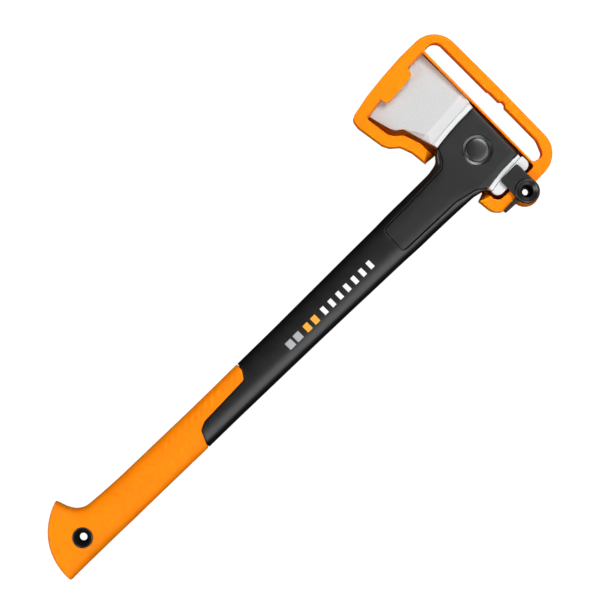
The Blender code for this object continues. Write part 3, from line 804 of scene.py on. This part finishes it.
GRIP_WALL = 2.5
TONGUE_DEPTH = 2.4
GRIP_DEPTH = 2.8
# Way through the wrap for the tenon: middle along Y, and half sizes
TUNNEL_Y, TUNNEL_HALF_Y, TUNNEL_HALF_Z = 1.0, 19.8, 8.8
# Step of the wrap beside the poll: where it crosses the X axis, slope, drop, fall beyond
STEP_X, STEP_SLOPE, STEP_DROP, STEP_FALL = 26.6, 0.052, 0.22, 0.05
# Columns of a table after the place and the normal; the shaft's are its two seams
BORDER, HOLE, TUNNEL = 6, 7, 8
WRAP_SEAM, GRIP_SEAM = 6, 7


def make_wrap():
    depths = np.concatenate(([-26.0, -25.7, -25.2], np.arange(-24.6, 123, 1.0)))
    table, faces = handle_grid(depths)
    faces += end_caps(len(depths), True, False)
    place = table[:, :3]
    border = depth_inside(outline(WRAP_PLAN), place)
    plug = np.hypot(place[:, 0], place[:, 1]) - (PLUG_R + PLUG_GAP)
    tunnel = np.maximum(np.abs(place[:, 2] - MID_Z) - TUNNEL_HALF_Z,
                        np.abs(place[:, 1] - TUNNEL_Y) - TUNNEL_HALF_Y)
    table = np.column_stack((table, border, plug, tunnel))
    table, faces = cut_lips(table, faces, lip_levels(WRAP_LIP))
    table, faces = split(table, faces, TUNNEL, 0.0)
    for column in (BORDER, HOLE, TUNNEL):
        faces = keep_above(table, faces, column)
    place, normal = table[:, :3], table[:, 3:6]
    sink = np.maximum(lip(table[:, BORDER], WRAP_LIP), lip(table[:, HOLE], WRAP_LIP))
    beside = place[:, 0] - (STEP_X - STEP_SLOPE * place[:, 1])
    step_ends = smoothstep(-30, -24, place[:, 1]) * smoothstep(23.5, 21.5, place[:, 1])
    step = STEP_DROP * smoothstep(-0.4, 0.4, beside) + STEP_FALL * smoothstep(0.4, 5.0, beside)
    sink += step * step_ends
    wrap = compact("wrap", place - normal * sink[:, None], faces)
    shell(wrap, WRAP_WALL)
    smooth(wrap, angle=40)
    finish_piece(wrap, "composite", "head_wrap")


def make_shaft():
    depths = np.concatenate((np.arange(14.0, 60, 1.0), np.arange(60, 128, 2.0),
                             np.arange(128, 305, 4.0), np.arange(305, 400, 1.0),
                             np.arange(400, 501, 5.0)))
    table, faces = handle_grid(depths)
    faces += end_caps(len(depths), True, True)
    place = table[:, :3]
    wrap = -depth_inside(outline(WRAP_PLAN), place) - SEAM
    grip = -depth_inside(outline(GRIP_PLAN), place) - SEAM
    table = np.column_stack((table, wrap, grip))
    table, faces = cut_lips(table, faces, (*lip_levels(SHAFT_LIP), -SEAM_WALL))
    place, normal = table[:, :3], table[:, 3:6]
    sink = np.zeros(len(table))
    for column, depth in ((WRAP_SEAM, TONGUE_DEPTH), (GRIP_SEAM, GRIP_DEPTH)):
        values = table[:, column]
        sunk = np.where(values >= 0, lip(values, SHAFT_LIP),
                        SHAFT_LIP + (depth - SHAFT_LIP) * np.clip(-values / SEAM_WALL, 0, 1))
        sink = np.maximum(sink, sunk)
    shaft = compact("shaft", place - normal * sink[:, None], faces)
    smooth(shaft, angle=40)
    finish_piece(shaft, "shaft", "handle_shaft")


CREASE_X = -1.6             # where the ribs of the two sides meet
RIB_HEIGHT = 0.62
# Fields of ribs: x from, x to, y from, y to, pitch along the handle, slope, edge widths
RIB_FIELDS = (
    (-1.2, 9.6, -391.0, -518.0, 7.05, 0.46, (0.9, 2.6)),
    (-14.5, -2.4, -296.0, -428.0, 8.95, 1.0, (3.0, 1.2)),
    (-15.5, -2.0, -430.0, -514.0, 8.13, -0.72, (3.5, 0.9)),
)


def rib_height(place, border):
    """Height of the slanting ribs above the grip."""
    x, y = place[:, 0], place[:, 1]
    height = np.zeros(len(place))
    for left, right, top, end, pitch, slope, (left_edge, right_edge) in RIB_FIELDS:
        phase = (y + slope * (x - CREASE_X)) / pitch
        wave = 0.5 - 0.5 * np.cos(2 * math.pi * phase)
        mask = (smoothstep(left - left_edge / 2, left + left_edge, x)
                * smoothstep(right + right_edge / 2, right - right_edge, x)
                * smoothstep(top + 4, top - 3, y) * smoothstep(end - 4, end + 8, y))
        height += RIB_HEIGHT * smoothstep(0.2, 0.65, wave) * mask
    return height * smoothstep(2.0, 5.0, border)


def make_grip():
    depths = np.concatenate((np.arange(300.0, 546, 0.9), np.arange(546, 549.6, 0.6), [549.6]))
    table, faces = handle_grid(depths)
    faces += end_caps(len(depths), False, True)
    place = table[:, :3]
    border = depth_inside(outline(GRIP_PLAN), place)
    hole = np.hypot(place[:, 0] - HANG_X, place[:, 1] - HANG_Y) - (HANG_R + HANG_GAP)
    table = np.column_stack((table, border, hole))
    table, faces = cut_lips(table, faces, lip_levels(GRIP_LIP))
    faces = keep_above(table, keep_above(table, faces, BORDER), HOLE)
    place, normal = table[:, :3], table[:, 3:6]
    sink = np.maximum(lip(table[:, BORDER], GRIP_LIP), lip(table[:, HOLE], GRIP_LIP))
    rise = rib_height(place, table[:, BORDER]) - sink
    grip = compact("grip", place + normal * rise[:, None], faces)
    shell(grip, GRIP_WALL)
    smooth(grip, angle=40)
    finish_piece(grip, "grip", "grip_sleeve")


make_wrap()
make_shaft()
make_grip()

# ------------ steel head

# Lower and upper edges of the blade from the cutting edge to the wrap: (x, y)
BLADE_LOWER = ((-103.6, -51.4), (-95.5, -50.2), (-74.5, -44.8), (-69.6, -42.4),
               (-64.6, -35.6), (-33.4, -26.6), (-28.9, -25.6))
BLADE_UPPER = ((-108.8, 28.6), (-101.5, 28.2), (-41.6, 28.4), (-37.4, 26.6), (-32.1, 25.9))
# Half thickness of the blade by the share of the way from the wrap to the cutting edge
CHEEK = ((0.0, 12.6), (0.056, 12.6), (0.062, 12.0), (0.175, 8.6), (0.2, 8.0), (0.5, 5.6),
         (0.86, 3.2), (0.93, 2.5), (0.97, 1.4), (1.0, 0.3))
EDGE_BOW = -2.9             # how far the cutting edge bulges from a straight line
BORDER_BOW = -1.2           # and the border with the wrap
# Blocks behind the blade: name, half thickness, rounding of the edges and outline
STEEL_BLOCKS = (
    ("tenon", 8.5, 0.6,
     [(-33.5, -18.5, 0), (36.5, -18.5, 0), (36.5, 20.5, 0), (-33.5, 20.5, 0)]),
    ("shoulder", 12.6, 0.3,
     [(30.8, 24.6, 0), (31.2, 3.0, 0), (32.6, -10.0, 0), (33.8, -17.6, 0.8),
      (37.8, -17.6, 0), (35.7, -5.0, 20), (34.5, 9.6, 20), (34.1, 24.6, 0)]),
    ("poll", 13.5, 0.5,
     [(34.4, 26.7, 3.0), (34.9, 9.6, 20), (36.1, -5.0, 20), (38.3, -18.5, 1.5),
      (46.7, -18.5, 6.3), (46.7, 26.7, 6.3)]),
)
LOCK_HOLE_R = 8.0
# Shares of the way along the blade where the ground facets start, are full and end
FACET_START, FACET_FULL, FACET_END = 0.10, 0.2, 0.479
# Full width and depth of the facets at the lower and the upper edge
LOWER_WIDTH, LOWER_DEPTH = 7.0, 1.7
UPPER_WIDTH, UPPER_DEPTH = 3.6, 0.8


def along_polyline(line, x):
    xs, ys = zip(*sorted(line))
    return float(np.interp(x, xs, ys))


def facet(share):
    """How full the ground facets are at this share of the way, 0 to 1."""
    if share >= FACET_END or share <= FACET_START:
        return 0.0
    if share >= FACET_FULL:
        return (FACET_END - share) / (FACET_END - FACET_FULL)
    return (share - FACET_START) / (FACET_FULL - FACET_START)


def blade_columns():
    """Shares of the way along the blade: even steps, and each corner of its outline."""
    corners = [row[0] for row in CHEEK] + [FACET_START, 0.14, FACET_END]
    for line in (BLADE_LOWER, BLADE_UPPER):
        start, end = line[-1][0], line[0][0]
        corners += [(x - start) / (end - start) for x, _ in line]
    columns = []
    for share in sorted([*corners, *np.linspace(0, 1, 61)]):
        if not columns or share - columns[-1] > 0.004:
            columns.append(float(share))
    columns[-1] = 1.0
    return columns


def make_blade():
    inner = np.linspace(0.14, 0.92, 22)
    columns = blade_columns()
    top, bottom = [], []
    for share in columns:
        low_x = BLADE_LOWER[-1][0] + (BLADE_LOWER[0][0] - BLADE_LOWER[-1][0]) * share
        high_x = BLADE_UPPER[-1][0] + (BLADE_UPPER[0][0] - BLADE_UPPER[-1][0]) * share
        low_y, high_y = along_polyline(BLADE_LOWER, low_x), along_polyline(BLADE_UPPER, high_x)
        height = high_y - low_y
        width = max(0.5, LOWER_WIDTH * facet(share)) / height
        upper_width = max(0.5, UPPER_WIDTH * facet(share)) / height
        bow = BORDER_BOW + (EDGE_BOW - BORDER_BOW) * share
        cheek = along_polyline(CHEEK, share)
        rounding = min(0.5, 0.4 * cheek)
        low, high = LOWER_DEPTH * facet(share), UPPER_DEPTH * facet(share)
        rows = [(0.0, rounding + low), (0.1 * width, 0.4 * rounding + 0.97 * low),
                (0.45 * width, 0.85 * low), (0.78 * width, 0.5 * low),
                (width, 0.0), *((row, 0.0) for row in inner), (1 - upper_width, 0.0),
                (1 - 0.7 * upper_width, 0.6 * high),
                (1 - 0.1 * upper_width, 0.4 * rounding + 0.9 * high), (1.0, rounding + high)]
        for row, drop in rows:
            half = max(0.25, cheek - drop)
            x = low_x + (high_x - low_x) * row + bow * 4 * row * (1 - row)
            y = low_y + height * row
            top.append((x, y, MID_Z + half))
            bottom.append((x, y, MID_Z - half))
    rows = len(top) // len(columns)
    lift = len(top)
    faces = []
    for c in range(len(columns) - 1):
        for r in range(rows - 1):
            a, b = c * rows + r, (c + 1) * rows + r
            faces.append((a, a + 1, b + 1, b))
            faces.append((lift + a, lift + b, lift + b + 1, lift + a + 1))
    last = (len(columns) - 1) * rows
    border = [*range(rows), *range(2 * rows - 1, last, rows), *range(last + rows - 1, last, -1),
              *range(last, 0, -rows)]
    for i, a in enumerate(border):
        b = border[(i + 1) % len(border)]
        faces.append((lift + a, lift + b, b, a))
    return mesh_object("steel_head", top + bottom, faces)


def make_steel_head():
    head = make_blade()
    blocks = [soft_slab(name, outline(plan), MID_Z - half, MID_Z + half, edge, edge)
              for name, half, edge, plan in STEEL_BLOCKS]
    combine(head, "UNION", *blocks)
    hole = well("lock_hole", round_outline(0, 0, LOCK_HOLE_R), MID_Z - 20, MID_Z + 20)
    combine(head, "DIFFERENCE", hole)
    smooth(head, angle=24)
    finish_piece(head, "steel", "axe_head")


# ------------ plugs and bush

WRAP_HALF = 13.8
PLUG_BUTTON_R = 11.6
PLUG_ROWS = (
    (0.0, 0.5), (3.0, 0.47), (6.0, 0.34), (8.5, 0.14), (10.0, -0.1), (10.8, -0.36), (11.3, -0.7),
    (PLUG_BUTTON_R, -1.15), (PLUG_BUTTON_R + 0.12, -1.7), (11.95, -1.8), (12.15, -1.75),
    (PLUG_R - 0.1, -0.85), (PLUG_R, -1.0), (PLUG_R, -3.2), (0.0, -3.2),
)


def make_eye_plugs():
    """Round plug in each cheek of the wrap: a domed button inside a sloping groove."""
    for name, node, side in (("eye_plug_front", "eye_plug_upper", 1),
                             ("eye_plug_back", "eye_plug_lower", -1)):
        profile = [(r, MID_Z + side * (WRAP_HALF + rise)) for r, rise in PLUG_ROWS]
        plug = turned(name, 0, 0, profile if side > 0 else profile[::-1], closed=False)
        smooth(plug, angle=40)
        finish_piece(plug, "composite", node, finish="plug")


BUTT_HALF = 17.5
HANG_BORE_R = 3.7


def make_hang_bush():
    """Funnel-shaped liner of the hanging hole, open on both faces of the butt."""
    low, high = 0.25, 2 * BUTT_HALF - 0.25
    funnel = [(9.0, 0.0), (8.5, 0.3), (7.8, 1.6), (7.0, 3.6), (6.3, 6.0), (5.6, 9.0), (4.8, 11.8),
              (4.1, 13.6), (HANG_BORE_R, 15.0)]
    inner = [(r, low + z) for r, z in funnel] + [(r, high - z) for r, z in reversed(funnel)]
    outer = [(9.45, high), (HANG_R - 0.05, high - 0.15), (HANG_R, high - 0.5), (HANG_R, low + 0.5),
             (HANG_R - 0.05, low + 0.15), (9.45, low)]
    bush = turned("hang_bush_liner", HANG_X, HANG_Y, outer + inner)
    smooth(bush, angle=40)
    finish_piece(bush, "composite", "hang_bush", finish="latch")


# ------------ latch

LATCH_UNDER = 31.6
LATCH_TOP = 35.6
LATCH_R = 12.2
LATCH_BORE_R = 5.7
HUB_R = 8.2
LEVER_TIP_Y = -24.0
LATCH_TAB = ((PIVOT_X, PIVOT_Y + LATCH_R - 0.1, 0), (36.0, 17.6, 2.4), (35.9, -5.5, 2.4),
             (PIVOT_X, PIVOT_Y - LATCH_R + 0.1, 0))
# The boss from the top of its rim down its outer side, and its funnel from the bore up
LATCH_OUTSIDE = ((10.75, 38.6), (11.3, 38.35), (11.75, 37.8), (12.05, 36.9), (12.2, 35.6),
                 (12.2, 31.9), (11.9, 31.6), (8.2, 31.6), (8.2, 2.7))
LATCH_FUNNEL = ((5.7, 2.7), (5.7, 34.4), (5.8, 35.3), (6.2, 35.95), (7.1, 36.5), (8.3, 37.15),
                (9.4, 37.8), (10.2, 38.35))


def make_latch():
    """Turning latch: a plate over the poll, a funnel-shaped boss, a hub and a thumb lever."""
    latch = soft_slab("turning_latch", outline(LATCH_TAB), LATCH_UNDER, LATCH_TOP, 0.4, 1.0)
    head = turned("latch_head", PIVOT_X, PIVOT_Y, soften(LATCH_OUTSIDE + LATCH_FUNNEL, 0.25))
    bore = well("bore", round_outline(PIVOT_X, PIVOT_Y, HUB_R + 1.0), 20, LATCH_TOP + 10)
    combine(latch, "DIFFERENCE", bore)
    lever = outline([(58.4, -3.0, 0), (58.8, LEVER_TIP_Y, 1.0), (62.4, LEVER_TIP_Y, 1.0),
                     (63.4, -5.0, 0)])
    lever = soft_slab("lever", lever, LATCH_UNDER, LATCH_TOP - 0.6, 0.3, 0.9)
    combine(latch, "UNION", head, lever)
    smooth(latch)
    finish_piece(latch, "latch", "latch", body="latch")


COLLAR_HOLE_R = 3.0


def make_latch_collar():
    """Collar that snaps into the hub from behind and keeps the latch in its boss."""
    neck = LATCH_BORE_R - GAP
    profile = soften([(neck, 9.0), (neck, COLLAR_RECESS - GAP), (COLLAR_R, COLLAR_RECESS - GAP),
                      (COLLAR_R, 0.2), (COLLAR_HOLE_R, 0.2), (COLLAR_HOLE_R, 9.0)], 0.4)
    collar = turned("snap_collar", PIVOT_X, PIVOT_Y, profile)
    smooth(collar)
    finish_piece(collar, "latch", "latch_collar", body="latch")


make_steel_head()
make_eye_plugs()
make_hang_bush()
make_latch()
make_latch_collar()

# ------------ camera, light and floor

AIM_X, AIM_Y = -18.6, -223.1
PICTURE_WIDTH = 580.8
CAMERA_DISTANCE = 3000.0
SENSOR = 36.0
WORLD_BELOW, WORLD_ABOVE = 0.015, 0.06
FLOOR_GREY = 0.10


def aimed(thing, place, target, up):
    """Put a camera or light at a place, looking at the target."""
    back = (Vector(place) - Vector(target)).normalized()
    right = Vector(up).cross(back).normalized()
    turn = Matrix((right, back.cross(right), back)).transposed()
    thing.matrix_world = Matrix.Translation(Vector(place) * MM) @ turn.to_4x4()


def make_camera():
    data = bpy.data.cameras.new("camera")
    data.sensor_width = SENSOR
    data.lens = SENSOR * CAMERA_DISTANCE / PICTURE_WIDTH
    data.clip_end = 60.0
    made = bpy.data.objects.new("camera", data)
    bpy.context.scene.collection.objects.link(made)
    aimed(made, (AIM_X, AIM_Y, MID_Z + CAMERA_DISTANCE), (AIM_X, AIM_Y, MID_Z), (-1, 1, 0))
    bpy.context.scene.camera = made


def area_light(name, place, size, watts, target=(-20, -230, 20)):
    data = bpy.data.lights.new(name, "AREA")
    data.shape = "RECTANGLE"
    data.size = size[0] * MM
    data.size_y = size[1] * MM
    data.energy = watts
    made = bpy.data.objects.new(name, data)
    bpy.context.scene.collection.objects.link(made)
    aimed(made, place, target, (0, 1, 0))


def make_world():
    world = bpy.data.worlds.new("studio")
    bpy.context.scene.world = world
    world.use_nodes = True
    nodes, links = world.node_tree.nodes, world.node_tree.links
    place = nodes.new("ShaderNodeTexCoord").outputs["Generated"]
    axes = nodes.new("ShaderNodeSeparateXYZ")
    links.new(place, axes.inputs["Vector"])
    ramp = nodes.new("ShaderNodeValToRGB")
    for element, grey in zip(ramp.color_ramp.elements, (WORLD_BELOW, WORLD_ABOVE)):
        element.color = (grey, grey, grey, 1)
    links.new(axes.outputs["Z"], ramp.inputs["Fac"])
    links.new(ramp.outputs["Color"], nodes["Background"].inputs["Color"])
    nodes["Background"].inputs["Strength"].default_value = 1.0


def stage_piece(name, mesh, brightness, albedo):
    made = bpy.data.objects.new(name, mesh)
    bpy.context.scene.collection.objects.link(made)
    paper, tree = new_material(name + "_paper", 0.0)
    tree.shader.inputs["Base Color"].default_value = (albedo, albedo, albedo, 1)
    tree.shader.inputs["Roughness"].default_value = 1.0
    tree.shader.inputs["Emission Color"].default_value = (1, 1, 1, 1)
    tree.shader.inputs["Emission Strength"].default_value = brightness
    made.data.materials.append(paper)
    made.visible_glossy = False
    made.visible_diffuse = False
    return made


def make_floor():
    """A pale floor, just under the object, in metres."""
    half, low = 9.0, -0.0003
    corners = [(-half, -half, low), (half, -half, low), (half, half, low), (-half, half, low)]
    mesh = bpy.data.meshes.new("floor")
    mesh.from_pydata(corners, [], [(0, 1, 2, 3)])
    stage_piece("floor", mesh, 1.0, FLOOR_GREY)


def make_backdrop():
    """A pale dome that only the camera sees, in metres."""
    radius, rings, turns = 11.0, 12, 32
    points, faces = [], []
    for r in range(rings + 1):
        lift = math.pi / 2 * r / rings
        reach, height = radius * math.cos(lift), radius * math.sin(lift) - 0.01
        for k in range(turns):
            angle = 2 * math.pi * k / turns
            points.append((reach * math.cos(angle), reach * math.sin(angle), height))
    for r in range(rings):
        for k in range(turns):
            j = (k + 1) % turns
            faces.append((r * turns + k, (r + 1) * turns + k, (r + 1) * turns + j, r * turns + j))
    mesh = bpy.data.meshes.new("backdrop")
    mesh.from_pydata(points, [], faces)
    dome = stage_piece("backdrop", mesh, 0.97, 0.0)
    dome.visible_shadow = False
    dome.visible_transmission = False


make_camera()
make_world()
make_floor()
make_backdrop()
area_light("key", (1150, -230, 1750), (1500, 2600), watts=36)
area_light("head_side", (-420, 1050, 1550), (1000, 700), watts=29, target=(-20, -20, 20))
area_light("butt_side", (-750, -1600, 1000), (1300, 700), watts=19, target=(-20, -400, 20))
bpy.context.scene.view_settings.view_transform = "Standard"
